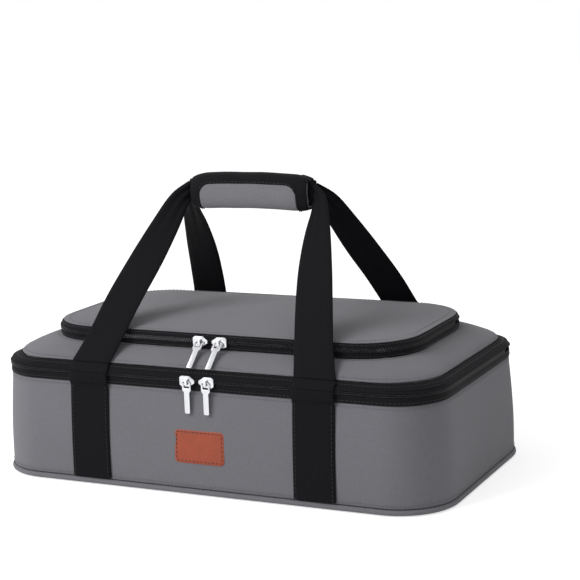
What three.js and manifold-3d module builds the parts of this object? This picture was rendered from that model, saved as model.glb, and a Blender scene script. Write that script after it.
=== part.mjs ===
// Insulated casserole carrier: a soft two-compartment box with two zipped lids and two webbing handles.
// Millimetres, +Z up, front towards -Y. The origin is the centre of the underside.
import * as THREE from 'three';
import { mergeVertices } from 'three/addons/utils/BufferGeometryUtils.js';
import Module from 'manifold-3d';

// Driving sizes of the box: an outline is a rounded rectangle
const rim = { width: 414, depth: 228, radius: 44 };
const flare = 4;
const crownInset = { x: 35, y: 26 };
const crownRadius = 50;
const fit = 0.3;

// Layers of the box, in the order in which they are stacked
const fabric = 1.6;
const foam = 6;
const foil = 1;
const panel = 2;
const board = 3;
const baseFoam = 5;
const pipingRadius = 2.4;
const pipingLift = 0.6;
const pipingSeat = 0.5;
const boxHeight = 90;

// Zips: each one is two tapes with a row of teeth on each, and a slot for the sliders' necks
const tape = 1.2;
const tapeProud = 0.8;
const lidTapeProud = 1.8;
const lowerTapeHeight = 6.2;
const toothHeight = 0.7;
const toothDepth = 2.4;
const zipSlot = 1.6;
const upperTapeHeight = 4.6;
const crownTapeHeight = 3.8;
const crownLean = 1.5;
const bandShare = 0.2;
const bandHeight = 6.4;
const bindingHeight = 3.6;
const bindingWidth = 8.5;
const hingeWidth = 160;
const hingeThickness = 1;
const hingeHeight = 6.7;

// Lids
const dividerFoam = 4;
const dividerInset = 12.5;
const lidBindingHeight = 3.1;
const shoulderFoot = 3.5;
const shoulderWall = 1.8;
const shoulderRise = 13.2;
const shoulderBulge = 1;
const shoulderMidShare = 0.41;
const shoulderMidRiseShare = 0.5;
const crownRise = 8.4;
const crownFoam = 4;
const crownFoamEdge = 3.3;
const domeShares = [1, 0.94, 0.84, 0.68, 0.45, 0.15];
const domePower = 2.6;

// Webbing handles
const webbing = 2;
const strapWidth = 38;
const strapSpacing = 212;
const sewnLift = 1;
const strapStandoff = 3;
const foldTop = 8;
const bendTop = 7.6;
const bendLean = 6.2;
const stageGap = 0.4;
const gripHeight = 242.5;
const sleeveLength = 112;
const sleeveDepth = 24;
const sleeveRise = 31;
const sleeveSplit = 0.4;
const sleeveEdge = 3;
const sleevePad = 7.6;
const sleeveRound = 5;
const runHeight = 22;
const runDepth = 2.4;
const runGap = 1.4;
const gatheredWidth = 18;
const webbingReach = 5;
// Each station of a strap's two edges: shares of the way back, and of each edge's way inwards and up
const strapStations = [
  { back: 0, inner: { inwards: 0, up: 0 }, outer: { inwards: 0, up: 0 } },
  { back: 0.14, inner: { inwards: 0.22, up: 0.16 }, outer: { inwards: 0.13, up: 0.15 } },
  { back: 0.33, inner: { inwards: 0.51, up: 0.38 }, outer: { inwards: 0.265, up: 0.36 } },
  { back: 0.55, inner: { inwards: 0.8, up: 0.6 }, outer: { inwards: 0.425, up: 0.57 } },
  { back: 0.76, inner: { inwards: 0.96, up: 0.8 }, outer: { inwards: 0.6, up: 0.77 } },
  { back: 0.92, inner: { inwards: 0.99, up: 0.94 }, outer: { inwards: 0.77, up: 0.925 } },
  { back: 1, inner: { inwards: 1, up: 1 }, outer: { inwards: 1, up: 1 } },
];
const strapSteps = 24;
const bendSteps = 11;
const runGapShare = 0.003;

// Leather label on the front
const label = { width: 47, height: 29, thickness: 1.4, radius: 4, centre: 42 };

// Sliders and pulls
const slider = { length: 14, height: 9, plate: 1.3, neck: 1, backHeight: 3, backPlate: 1, gap: 9 };
const shield = { tail: 6.4, shoulder: 2, nose: 5, tip: 2.4 };
const bridge = { width: 2.4, height: 5.4, bar: 1, room: 1.8, opening: 3.4 };
const pull = { length: 28, width: 5, thickness: 1.1, eye: 5, eyeWidth: 5,
  head: 8.2, headLength: 8, taper: 2 };
const pullCorner = { head: 1.8, foot: 0.8 };
const pullRest = 0.6;
const overrun = 1;

// Facets
const cornerSteps = 6;
const pipingSides = 8;
const roundSteps = 4;

// Outlines and heights that follow from the sizes above
const offset = (s, t) => ({ width: s.width - 2 * t, depth: s.depth - 2 * t, radius: s.radius - t });
const between = (a, b, share) => ({
  width: a.width + (b.width - a.width) * share,
  depth: a.depth + (b.depth - a.depth) * share,
  radius: a.radius + (b.radius - a.radius) * share,
});
const base = offset(rim, -flare);
const ring = {
  width: rim.width - 2 * crownInset.x, depth: rim.depth - 2 * crownInset.y, radius: crownRadius,
};
const pipingCentre = pipingLift + pipingRadius;
const wallBottom = pipingCentre + pipingRadius + fit;
const boardTop = panel + fit + board;
const baseFoamTop = boardTop + fit + baseFoam;
const floorTop = baseFoamTop + fit + foil;
const foamFace = fabric + fit;
const liningFace = foamFace + foam + fit;
const tapeBottom = boxHeight + fit;
const bodyTeethBottom = tapeBottom + lowerTapeHeight + fit;
const bodyTeethTop = bodyTeethBottom + toothHeight;
const lowerSlot = bodyTeethTop + zipSlot / 2;
const lidTeethBottom = bodyTeethTop + zipSlot;
const lidTapeBottom = lidTeethBottom + toothHeight + fit;
const lidTapeTop = lidTapeBottom + bandHeight;
const band = between(rim, ring, bandShare);
const shoulderBottom = lidTapeTop + fit;
const shoulderTop = shoulderBottom + shoulderRise;
const upperTapeBottom = shoulderTop + fit;
const upperTeethBottom = upperTapeBottom + upperTapeHeight + fit;
const upperTeethTop = upperTeethBottom + toothHeight;
const upperSlot = upperTeethTop + zipSlot / 2;
const crownTeethBottom = upperTeethTop + zipSlot;
const crownTapeBottom = crownTeethBottom + toothHeight + fit;
const crownTapeTop = crownTapeBottom + crownTapeHeight;
const crownEdge = crownTapeTop + fit;

const material = (color, roughness, metalness = 0) => () =>
  new THREE.MeshStandardMaterial({ color, roughness, metalness });
const greyFabric = material(0x7a797f, 0.9);
const blackFabric = material(0x1c1c1e, 0.85);
const silverFoil = material(0xc4c4c8, 0.35, 0.6);
const paleFoam = material(0xe4e2dc, 0.95);
const stiffBoard = material(0x303033, 0.7);
const leather = material(0xa45b45, 0.6);
const chrome = material(0xb9bbc0, 0.25, 1);

// The outline's corner points, counterclockwise from the right rear corner, with their outward directions
function outlinePoints(section) {
  const points = [];
  for (let corner = 0; corner < 4; corner += 1) {
    const sideX = corner === 0 || corner === 3 ? 1 : -1;
    const sideY = corner < 2 ? 1 : -1;
    for (let step = 0; step <= cornerSteps; step += 1) {
      const angle = (corner + step / cornerSteps) * (Math.PI / 2);
      const x = sideX * (section.width / 2 - section.radius) + section.radius * Math.cos(angle);
      const y = sideY * (section.depth / 2 - section.radius) + section.radius * Math.sin(angle);
      points.push({ x, y, angle });
    }
  }
  return points;
}

const loop = (section, z) => outlinePoints(section).map((p) => new THREE.Vector3(p.x, p.y, z));

// A closed solid through a row of loops with equally many points; an endless row closes on itself
function loft(loops, endless = false) {
  const size = loops[0].length;
  const positions = loops.flat().flatMap((p) => [p.x, p.y, p.z]);
  const faces = [];
  const rows = endless ? loops.length : loops.length - 1;
  for (let row = 0; row < rows; row += 1) {
    const here = row * size;
    const next = ((row + 1) % loops.length) * size;
    for (let i = 0; i < size; i += 1) {
      const j = (i + 1) % size;
      faces.push([here + i, here + j, next + j], [here + i, next + j, next + i]);
    }
  }
  if (!endless) {
    const last = (loops.length - 1) * size;
    for (let i = 1; i < size - 1; i += 1) {
      faces.push([0, i + 1, i], [last, last + i, last + i + 1]);
    }
  }
  const corner = (i) => new THREE.Vector3().fromArray(positions, 3 * i);
  const volume = faces.reduce((sum, [a, b, c]) => sum + corner(a).dot(corner(b).cross(corner(c))), 0);
  const outward = volume > 0 ? faces : faces.map(([a, b, c]) => [a, c, b]);
  const geometry = new THREE.BufferGeometry();
  geometry.setAttribute('position', new THREE.Float32BufferAttribute(positions, 3));
  geometry.setIndex(outward.flat());
  geometry.computeVertexNormals();
  return geometry;
}

// A ring wall between two outlines, with the same wall at both ends
const wall = (low, lowZ, high, highZ, thickness) => loft([
  loop(low, lowZ), loop(high, highZ),
  loop(offset(high, thickness), highZ), loop(offset(low, thickness), lowZ),
], true);

const slab = (section, lowZ, highZ) => loft([loop(section, lowZ), loop(section, highZ)]);

// A dome: outer skin from the centre to the edge, then back along the inner skin
function dome(section, topEdge, topRise, lowEdge, lowRise) {
  const scaled = (share) => ({
    width: section.width * share, depth: section.depth * share, radius: section.radius * share,
  });
  const skin = (edge, rise) => domeShares.map((share) =>
    loop(scaled(share), edge + rise * (1 - share ** domePower)));
  return loft([...skin(topEdge, topRise).reverse(), ...skin(lowEdge, lowRise)]);
}

// Teeth along the sides and the front, as one strip from one rear corner to the other
function teeth(section, lowZ) {
  const path = outlinePoints(section);
  const corners = cornerSteps + 1;
  const open = [...path.slice(corners), ...path.slice(0, corners)];
  return loft(open.map(({ x, y, angle }) => {
    const out = new THREE.Vector3(Math.cos(angle), Math.sin(angle), 0);
    const point = (t, z) => new THREE.Vector3(x, y, z).addScaledVector(out, t);
    const half = toothDepth / 2;
    const highZ = lowZ + toothHeight;
    return [point(-half, lowZ), point(half, lowZ), point(half, highZ), point(-half, highZ)];
  }));
}

const carrier = new THREE.Group();
function add(name, geometry, finish, place = () => {}) {
  const mesh = new THREE.Mesh(geometry, finish());
  mesh.name = name;
  place(mesh);
  carrier.add(mesh);
  return mesh;
}

const box = (x, y, z) => new THREE.BoxGeometry(x, y, z);
const at = (x, y, z) => (mesh) => mesh.position.set(x, y, z);

// Base: fabric panel, stiffening board, foam and the piping round the edge
const atWall = (z) => between(base, rim, (z - wallBottom) / (boxHeight - wallBottom));
function pipingLoops() {
  const loops = [];
  for (let side = 0; side < pipingSides; side += 1) {
    const angle = (side / pipingSides) * 2 * Math.PI;
    const section = offset(base, pipingSeat - pipingRadius * Math.cos(angle));
    loops.push(loop(section, pipingCentre + pipingRadius * Math.sin(angle)));
  }
  return loops;
}
const insidePiping = offset(base, pipingSeat + pipingRadius + fit);
add('base_panel', slab(insidePiping, 0, panel), greyFabric);
add('base_board', slab(insidePiping, panel + fit, boardTop), stiffBoard);
add('base_foam', loft([loop(offset(base, foamFace), boardTop + fit),
  loop(offset(atWall(baseFoamTop), foamFace), baseFoamTop)]), paleFoam);
add('bottom_piping', loft(pipingLoops(), true), greyFabric);

// Walls: outer fabric, foam and the foil tray
const foamBottom = baseFoamTop + fit;
add('body_wall', wall(base, wallBottom, rim, boxHeight, fabric), greyFabric);
const foamFoot = offset(atWall(foamBottom), foamFace);
add('body_foam', wall(foamFoot, foamBottom, offset(rim, foamFace), boxHeight, foam), paleFoam);
const trayWallFoot = floorTop + fit;
const trayFloor = offset(atWall(foamBottom), liningFace);
add('body_floor_lining', slab(trayFloor, foamBottom, floorTop), silverFoil);
const trayLow = offset(atWall(trayWallFoot), liningFace);
add('body_lining', wall(trayLow, trayWallFoot, offset(rim, liningFace), boxHeight, foil), silverFoil);
const bindingFace = fit + tape - tapeProud;
add('body_rim_binding', wall(offset(rim, bindingFace), tapeBottom, offset(rim, bindingFace),
  tapeBottom + bindingHeight, bindingWidth), blackFabric);

// Lower zip, body side
add('body_zip_tape', wall(offset(rim, -tapeProud), tapeBottom, offset(rim, -tapeProud),
  tapeBottom + lowerTapeHeight, tape), blackFabric);
add('body_zip_teeth', teeth(rim, bodyTeethBottom), blackFabric);

// Lower zip, lid side: the tape leans in towards the shoulder
const lidTapeLow = offset(rim, -lidTapeProud);
add('lid_zip_teeth', teeth(rim, lidTeethBottom), blackFabric);
add('lid_zip_tape', wall(lidTapeLow, lidTapeBottom, offset(band, -tapeProud), lidTapeTop, tape), blackFabric);
const leanShare = (z) => (z - lidTapeBottom) / bandHeight;
const insideLidTape = (z) => offset(between(lidTapeLow, band, leanShare(z)), tape + fit);
const lidBindingTop = lidTapeBottom + lidBindingHeight;
const dividerEdge = offset(rim, dividerInset);
const dividerRim = offset(dividerEdge, -fit);
add('lid_rim_binding', loft([loop(insideLidTape(lidTapeBottom), lidTapeBottom),
  loop(insideLidTape(lidBindingTop), lidBindingTop), loop(dividerRim, lidBindingTop),
  loop(dividerRim, lidTapeBottom)], true), blackFabric);

// Divider between the two compartments: foil, foam, foil
const dividerFoamBottom = lidTapeBottom + foil + fit;
const dividerFoamTop = dividerFoamBottom + dividerFoam;
add('lid_lining', slab(dividerEdge, lidTapeBottom, lidTapeBottom + foil), silverFoil);
add('divider_foam', slab(dividerEdge, dividerFoamBottom, dividerFoamTop), paleFoam);
add('divider_lining', slab(dividerEdge, dividerFoamTop + fit, dividerFoamTop + fit + foil), silverFoil);

// Shoulder between the two zips
const shoulderMid = between(band, ring, shoulderMidShare);
const shoulderMidZ = shoulderBottom + shoulderRise * shoulderMidRiseShare + shoulderBulge;
add('lid_shoulder', loft([
  loop(band, shoulderBottom), loop(shoulderMid, shoulderMidZ), loop(ring, shoulderTop),
  loop(ring, shoulderTop - shoulderWall), loop(shoulderMid, shoulderMidZ - shoulderWall),
  loop(offset(band, shoulderFoot), shoulderBottom),
], true), greyFabric);

// Upper zip
const upperFace = offset(ring, -tapeProud);
add('upper_zip_tape', wall(upperFace, upperTapeBottom, upperFace, upperTapeBottom + upperTapeHeight, tape),
  blackFabric);
add('upper_zip_teeth', teeth(ring, upperTeethBottom), blackFabric);
add('top_lid_zip_teeth', teeth(ring, crownTeethBottom), blackFabric);
const crownFace = offset(ring, crownLean);
const crownTapeFoot = offset(ring, -tape);
add('top_lid_zip_tape', wall(crownTapeFoot, crownTapeBottom, crownFace, crownTapeTop, tape), blackFabric);

// Crown: fabric, foam and foil
const crownPanelRise = crownRise - fabric;
const foamRise = crownPanelRise - fit;
const underCrown = offset(crownFace, fabric + fit);
const foamLow = crownEdge - crownFoamEdge;
const foamLowRise = foamRise + crownFoamEdge - crownFoam;
const crownFoilTop = foamLow - fit;
const crownFoilLow = crownFoilTop - foil;
add('top_lid_panel', dome(crownFace, crownEdge, crownRise, crownEdge, crownPanelRise), greyFabric);
add('top_lid_foam', dome(underCrown, crownEdge, foamRise, foamLow, foamLowRise), paleFoam);
add('top_lid_lining', dome(underCrown, crownFoilTop, foamLowRise, crownFoilLow, foamLowRise), silverFoil);

// Fabric hinges at the rear: a strip on each side of each hinge line
function hingeStrips(lowName, highName, half, section, proud, line, reach) {
  const inner = section.depth / 2 + proud + fit;
  const y = inner + hingeThickness / 2;
  const piece = (name, z0, z1) => add(name, box(half * 2, hingeThickness, z1 - z0), blackFabric,
    at(0, y, (z0 + z1) / 2));
  piece(lowName, line - fit - reach, line - fit);
  piece(highName, line + fit, line + fit + reach);
}
hingeStrips('main_hinge_tape', 'lid_hinge_tape', hingeWidth / 2, rim, lidTapeProud, lowerSlot, hingeHeight);
const upperHingeHeight = upperTapeHeight + toothHeight;
hingeStrips('upper_hinge_tape', 'top_lid_hinge_tape', hingeWidth / 2, ring, toothDepth / 2, upperSlot,
  upperHingeHeight);

// Label sewn on the front; it lies against the sloping wall
const wallLean = Math.atan2(flare, boxHeight - wallBottom);
const faceY = (z) => atWall(z).depth / 2;
function roundedShape(width, height, radius) {
  const shape = new THREE.Shape();
  const x = width / 2 - radius;
  const y = height / 2 - radius;
  shape.absarc(x, y, radius, 0, Math.PI / 2);
  shape.absarc(-x, y, radius, Math.PI / 2, Math.PI);
  shape.absarc(-x, -y, radius, Math.PI, Math.PI * 1.5);
  shape.absarc(x, -y, radius, Math.PI * 1.5, Math.PI * 2);
  return shape;
}
const extrude = (shape, depth) =>
  new THREE.ExtrudeGeometry(shape, { depth, bevelEnabled: false, curveSegments: roundSteps });
add('leather_label', extrude(roundedShape(label.width, label.height, label.radius), label.thickness), leather,
  (mesh) => {
    mesh.position.set(0, -faceY(label.centre) - fit, label.centre);
    mesh.rotation.x = Math.PI / 2 - wallLean;
  });

// A flat strap's section between the points of its two edges, with its thickness square to both
function strapSection(inner, outer, tangent) {
  const side = outer.clone().sub(inner);
  const half = tangent.clone().cross(side).normalize().multiplyScalar(webbing / 2);
  return [
    inner.clone().sub(half), outer.clone().sub(half), outer.clone().add(half), inner.clone().add(half),
  ];
}

// Places along one handle, on the front: y is measured outwards from the middle
const sewnBottom = wallBottom + sewnLift;
const standoff = rim.depth / 2 + strapStandoff + webbing / 2;
const foldBottomZ = boxHeight + stageGap * 2;
const foldTopZ = foldBottomZ + foldTop;
const bendBottomZ = foldTopZ + stageGap;
const bendTopZ = bendBottomZ + bendTop;
const bendTopY = standoff - bendLean;
const gripY = runGap + runDepth / 2;
const upwards = new THREE.Vector3(0, 0, 1);
const straight = ({ y, z }, sideX) => [-1, 1].map((edge) =>
  new THREE.Vector3(sideX * (strapSpacing + edge * strapWidth) / 2, y, z));
const levelSection = (place, sideX) => strapSection(...straight(place, sideX), upwards);

function flatStrap(name, sideX, low, high) {
  add(name, loft([levelSection(low, sideX), levelSection(high, sideX)]), blackFabric);
}

// One edge of the free strap, from the bend below to the grip's webbing
function strapEdge(key, edge, sideX, sideY) {
  const { lerp } = THREE.MathUtils;
  const start = { x: (strapSpacing + edge * strapWidth) / 2, y: bendTopY, z: bendTopZ };
  const end = {
    x: sleeveLength / 2 + webbingReach + stageGap, y: gripY, z: gripHeight + edge * gatheredWidth / 2,
  };
  return new THREE.CatmullRomCurve3(strapStations.map((station) => new THREE.Vector3(
    sideX * lerp(start.x, end.x, station[key].inwards),
    sideY * lerp(start.y, end.y, station.back),
    lerp(start.z, end.z, station[key].up))));
}

// The strap's free length in two pieces: a bend from the fold upwards, and a run to the grip
function freeStrap(name, sideX, sideY) {
  const inner = strapEdge('inner', -1, sideX, sideY);
  const outer = strapEdge('outer', 1, sideX, sideY);
  // Both ends are cut square to what they meet: the bend's foot below and the grip's webbing beside
  const endTangents = { 0: upwards, 1: new THREE.Vector3(-sideX, 0, 0) };
  const section = (t) => {
    const tangent = endTangents[t] ?? inner.getTangent(t).add(outer.getTangent(t));
    return strapSection(inner.getPoint(t), outer.getPoint(t), tangent);
  };
  const sections = (from, to) => {
    const row = [];
    for (let step = from; step <= to; step += 1) {
      row.push(section(step / strapSteps));
    }
    return row;
  };
  const foot = levelSection({ y: sideY * standoff, z: bendBottomZ }, sideX);
  add(`${name}_bend`, loft([foot, ...sections(0, bendSteps)]), blackFabric);
  const runFoot = section(bendSteps / strapSteps + runGapShare);
  add(name, loft([runFoot, ...sections(bendSteps + 1, strapSteps)]), blackFabric);
}

for (const [face, sideY] of [['front', -1], ['rear', 1]]) {
  for (const [hand, sideX] of [['left', -1], ['right', 1]]) {
    const name = `${face}_strap_${hand}`;
    const seat = (z) => ({ y: sideY * (faceY(z) + fit + webbing / 2), z });
    const foldAt = (z) => ({ y: sideY * standoff, z });
    flatStrap(`${name}_sewn`, sideX, seat(sewnBottom), seat(boxHeight));
    flatStrap(`${name}_fold`, sideX, foldAt(foldBottomZ), foldAt(foldTopZ));
    freeStrap(name, sideX, sideY);
  }
  add(`${face}_grip_webbing`, box(sleeveLength + webbingReach * 2, runDepth, runHeight), blackFabric,
    at(0, sideY * gripY, gripHeight));
}

// Padded sleeve round both grips: its front half opens as a flap
function sleeveHalf(name, sideY) {
  const top = sleeveRise / 2;
  const shape = new THREE.Shape();
  shape.moveTo(sleeveSplit, -top);
  shape.lineTo(sleeveDepth / 2 - sleeveRound, -top);
  shape.absarc(sleeveDepth / 2 - sleeveRound, -top + sleeveRound, sleeveRound, -Math.PI / 2, 0);
  shape.absarc(sleeveDepth / 2 - sleeveRound, top - sleeveRound, sleeveRound, 0, Math.PI / 2);
  shape.lineTo(sleeveSplit, top);
  shape.lineTo(sleeveSplit, top - sleeveEdge);
  shape.lineTo(sleeveDepth / 2 - sleevePad, top - sleeveEdge);
  shape.lineTo(sleeveDepth / 2 - sleevePad, -top + sleeveEdge);
  shape.lineTo(sleeveSplit, -top + sleeveEdge);
  const turned = new THREE.Matrix4().makeBasis(new THREE.Vector3(0, sideY, 0), upwards,
    new THREE.Vector3(sideY, 0, 0));
  add(name, extrude(shape, sleeveLength), greyFabric, (mesh) => {
    mesh.rotation.setFromRotationMatrix(turned);
    mesh.position.set(-sideY * sleeveLength / 2, 0, gripHeight);
  });
}
sleeveHalf('grip_flap', -1);
sleeveHalf('grip_wrap', 1);

// Booleans on closed meshes
const wasm = await Module();
wasm.setup();
function solid(geometry) {
  const plain = geometry.clone();
  plain.deleteAttribute('normal');
  plain.deleteAttribute('uv');
  const merged = mergeVertices(plain);
  return new wasm.Manifold(new wasm.Mesh({
    numProp: 3,
    vertProperties: merged.getAttribute('position').array,
    triVerts: Uint32Array.from(merged.index.array),
  }));
}
function meshOf(manifold) {
  const result = manifold.getMesh();
  const geometry = new THREE.BufferGeometry();
  geometry.setAttribute('position', new THREE.Float32BufferAttribute(result.vertProperties, 3));
  geometry.setIndex(Array.from(result.triVerts));
  geometry.computeVertexNormals();
  return geometry;
}

// Slider: a plate each side of the teeth, joined through the slot, and a bridge that holds the pull
const block = (x, y, z, centreY) => box(x, y, z).translate(0, centreY, 0);
// The front plate is a shield whose nose points to the other slider
function shieldPlate(inwards, faceOut) {
  const outer = -slider.length / 2;
  const inner = slider.length / 2;
  const half = slider.height / 2;
  const upper = [[outer, shield.tail / 2], [outer + shield.shoulder, half], [inner - shield.nose, half],
    [inner, shield.tip / 2]];
  const lower = upper.map(([x, y]) => [x, -y]).reverse();
  const ends = [...upper, ...lower].map(([x, y]) => new THREE.Vector2(inwards * x, y));
  return extrude(new THREE.Shape(ends), slider.plate).rotateX(Math.PI / 2).translate(0, faceOut, 0);
}
function sliderSolid(inwards, faceIn, faceOut) {
  const neckLength = faceIn - faceOut;
  const front = solid(shieldPlate(inwards, faceOut));
  const backCentre = faceIn + slider.backPlate / 2;
  const back = solid(block(slider.length, slider.backPlate, slider.backHeight, backCentre));
  const overlap = slider.plate / 2;
  const neck = solid(block(slider.length, neckLength + overlap * 2, slider.neck, (faceIn + faceOut) / 2));
  const reach = bridge.room + bridge.bar;
  const arch = solid(block(bridge.width, reach + overlap, bridge.height,
    faceOut - slider.plate - reach / 2 + overlap / 2));
  const hole = solid(block(bridge.width + overrun * 2, bridge.room, bridge.opening,
    faceOut - slider.plate - bridge.room / 2));
  return meshOf(front.add(back).add(neck).add(arch).subtract(hole));
}

// Pull: a flat bar with an eye; its top bar passes through the slider's bridge
function pullGeometry() {
  const top = pull.length / 2;
  const neck = top - pull.headLength;
  const rightSide = [[pull.head / 2 - pullCorner.head, top], [pull.head / 2, top - pullCorner.head],
    [pull.head / 2, neck], [pull.width / 2, neck - pull.taper], [pull.width / 2, -top + pullCorner.foot],
    [pull.width / 2 - pullCorner.foot, -top]];
  const leftSide = rightSide.map(([x, y]) => [-x, y]).reverse();
  const shape = new THREE.Shape([...rightSide, ...leftSide].map(([x, y]) => new THREE.Vector2(x, y)));
  const eye = new THREE.Path();
  const side = pull.eyeWidth / 2;
  const eyeTop = pull.length / 2 - pull.thickness;
  eye.moveTo(-side, eyeTop);
  eye.lineTo(-side, eyeTop - pull.eye);
  eye.lineTo(side, eyeTop - pull.eye);
  eye.lineTo(side, eyeTop);
  shape.holes.push(eye);
  const reach = -pull.length / 2 + pull.thickness / 2;
  return extrude(shape, pull.thickness).translate(0, reach, -pull.thickness / 2);
}

const behindTeeth = toothDepth / 2 + fit;
function zipSlider(name, sideX, section, slot, lean) {
  const face = section.depth / 2;
  const faceOut = -lidTapeProud - fit;
  const x = sideX * slider.gap;
  add(`${name}_slider`, sliderSolid(-sideX, behindTeeth, faceOut), chrome, at(x, -face, slot));
  const pin = -face + faceOut - slider.plate - bridge.room / 2;
  add(`${name}_pull`, pullGeometry(), chrome, (mesh) => {
    mesh.position.set(x, pin, slot);
    mesh.rotation.x = Math.PI / 2 - lean;
  });
}
const upperDrop = upperSlot - lidTapeTop - pull.thickness - pullRest;
const upperLean = Math.PI / 2 - Math.asin(upperDrop / pull.length);
for (const [hand, sideX] of [['left', -1], ['right', 1]]) {
  zipSlider(`lower_${hand}`, sideX, rim, lowerSlot, 0);
  zipSlider(`upper_${hand}`, sideX, ring, upperSlot, upperLean);
}

export default carrier;
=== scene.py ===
"""Insulated casserole carrier: fabric, foil, zips, straps, padded grip, label and metal over the frame."""
import math

import bmesh
import bpy
from bpy.props import FloatProperty, FloatVectorProperty, PointerProperty
from mathutils import Matrix, Vector, noise


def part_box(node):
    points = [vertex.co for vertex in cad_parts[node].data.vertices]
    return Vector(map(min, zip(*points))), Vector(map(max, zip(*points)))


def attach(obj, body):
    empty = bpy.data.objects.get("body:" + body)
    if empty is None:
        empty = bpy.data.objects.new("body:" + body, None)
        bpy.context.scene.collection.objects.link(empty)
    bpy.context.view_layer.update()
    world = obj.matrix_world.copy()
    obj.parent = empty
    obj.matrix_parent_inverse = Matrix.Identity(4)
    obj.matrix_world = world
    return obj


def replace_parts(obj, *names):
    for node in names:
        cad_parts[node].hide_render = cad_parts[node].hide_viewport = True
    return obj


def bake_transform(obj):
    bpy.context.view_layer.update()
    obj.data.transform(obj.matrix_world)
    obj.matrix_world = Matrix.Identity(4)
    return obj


bl_info = {
    "name": "Casserole Carrier",
    "version": (1, 0, 0),
    "blender": (4, 5, 0),
    "location": "View3D > Sidebar > Carrier",
    "description": "Insulated carrier with two zipped lids, webbing handles and a padded grip",
    "category": "Add Mesh",
}

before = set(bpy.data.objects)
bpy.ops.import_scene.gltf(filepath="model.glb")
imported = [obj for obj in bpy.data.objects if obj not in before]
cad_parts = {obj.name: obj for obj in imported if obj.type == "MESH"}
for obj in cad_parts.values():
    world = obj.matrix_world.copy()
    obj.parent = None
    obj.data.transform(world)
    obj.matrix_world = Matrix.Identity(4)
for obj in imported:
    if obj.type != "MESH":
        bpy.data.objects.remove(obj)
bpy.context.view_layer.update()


def plain(red, green, blue):
    """A colour written in 0 to 255, as Blender's linear values."""
    parts = [c / 255 for c in (red, green, blue)]
    return [c / 12.92 if c <= 0.04045 else ((c + 0.055) / 1.055) ** 2.4 for c in parts]


# --- Sizes and colours -------------------------------------------------------------------------

def length(name, description, default):
    """A size in metres that shows with its unit."""
    return FloatProperty(name=name, description=description, default=default, min=0.0, precision=5,
                         subtype="DISTANCE", unit="LENGTH")


def tint(name, description, default):
    """A colour that shows as a swatch."""
    return FloatVectorProperty(name=name, description=description, default=default, subtype="COLOR",
                               min=0.0, max=1.0)


class CarrierSizes(bpy.types.PropertyGroup):
    """Sizes of the sewn and moulded details."""
    wall_bulge: length("Wall bulge", "How far the padded wall swells between its seams", 0.0014)
    wall_ripple: length("Wall ripple", "Unevenness of the padded wall", 0.0007)
    foil_crumple: length("Foil crumple", "Height of the creases in the foil", 0.0011)
    stitch: length("Stitch", "Length of one stitch", 0.0026)
    stitch_gap: length("Stitch gap", "Space between two stitches", 0.0011)
    thread: length("Thread", "Radius of the sewing thread", 0.00026)
    tooth_pitch: length("Tooth pitch", "Distance between two coil teeth in a row", 0.0024)
    webbing: length("Webbing", "Thickness of the strap", 0.0019)
    weave: length("Weave", "Distance between two threads of the outer fabric", 0.0006)
    rib: length("Rib", "Distance between two ribs of the webbing", 0.0014)
    grip_binding: length("Grip binding", "Width of the black binding on the grip", 0.010)


class CarrierColours(bpy.types.PropertyGroup):
    """Colours of the materials."""
    grey: tint("Outer fabric", "Woven grey fabric", plain(120, 119, 125))
    grip: tint("Grip fabric", "Woven grey fabric of the grip", plain(128, 127, 132))
    black: tint("Webbing", "Black webbing", plain(13, 12, 15))
    tape: tint("Zip tape", "Black zip tape and binding", plain(19, 18, 21))
    coil: tint("Coil", "Black plastic coil", plain(17, 17, 19))
    foil: tint("Foil", "Silver insulating film", plain(206, 206, 210))
    foam: tint("Foam", "Closed-cell foam", plain(228, 226, 220))
    board: tint("Board", "Stiffening board", plain(52, 52, 55))
    leather: tint("Leather", "Label leather", plain(161, 74, 49))
    metal: tint("Metal", "Plated sliders and pulls", plain(214, 215, 219))
    grey_thread: tint("Grey thread", "Thread on grey fabric", plain(98, 97, 102))
    black_thread: tint("Black thread", "Thread on webbing", plain(21, 20, 23))
    label_thread: tint("Label thread", "Thread on leather", plain(88, 38, 27))


# --- Materials as expressions ------------------------------------------------------------------

class Value:
    """A shader socket that takes part in arithmetic."""

    def __init__(self, nodes, socket):
        self.nodes, self.socket = nodes, socket

    def __add__(self, other):
        return self.nodes.math("ADD", self, other)

    def __sub__(self, other):
        return self.nodes.math("SUBTRACT", self, other)

    def __rsub__(self, other):
        return self.nodes.math("SUBTRACT", other, self)

    def __mul__(self, other):
        return self.nodes.math("MULTIPLY", self, other)

    def __truediv__(self, other):
        return self.nodes.math("DIVIDE", self, other)

    def __abs__(self):
        return self.nodes.math("ABSOLUTE", self)

    __radd__ = __add__
    __rmul__ = __mul__


class Nodes:
    """A shader tree, built from expressions."""

    def __init__(self, tree):
        self.tree = tree

    def node(self, kind, settings, inputs, output=0):
        """Adds a node: its settings first, then the values or links of its sockets."""
        made = self.tree.nodes.new(kind)
        for key, value in settings.items():
            setattr(made, key, value)
        for key, value in inputs.items():
            self.feed(made.inputs[key], value)
        return Value(self, made.outputs[output])

    def feed(self, socket, value):
        """Links a value, or sets a constant."""
        if isinstance(value, Value):
            self.tree.links.new(value.socket, socket)
        elif isinstance(value, (tuple, list)) and socket.type == "RGBA" and len(value) == 3:
            socket.default_value = (*value, 1)
        else:
            socket.default_value = value

    def math(self, operation, *terms):
        return self.node("ShaderNodeMath", {"operation": operation}, dict(enumerate(terms)))

    def seen_by(self, *rays):
        """1 for the kinds of ray that are named, 0 for the others."""
        first, *others = (self.node("ShaderNodeLightPath", {}, {}, output=ray) for ray in rays)
        for other in others:
            first = self.math("MAXIMUM", first, other)
        return first


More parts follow.
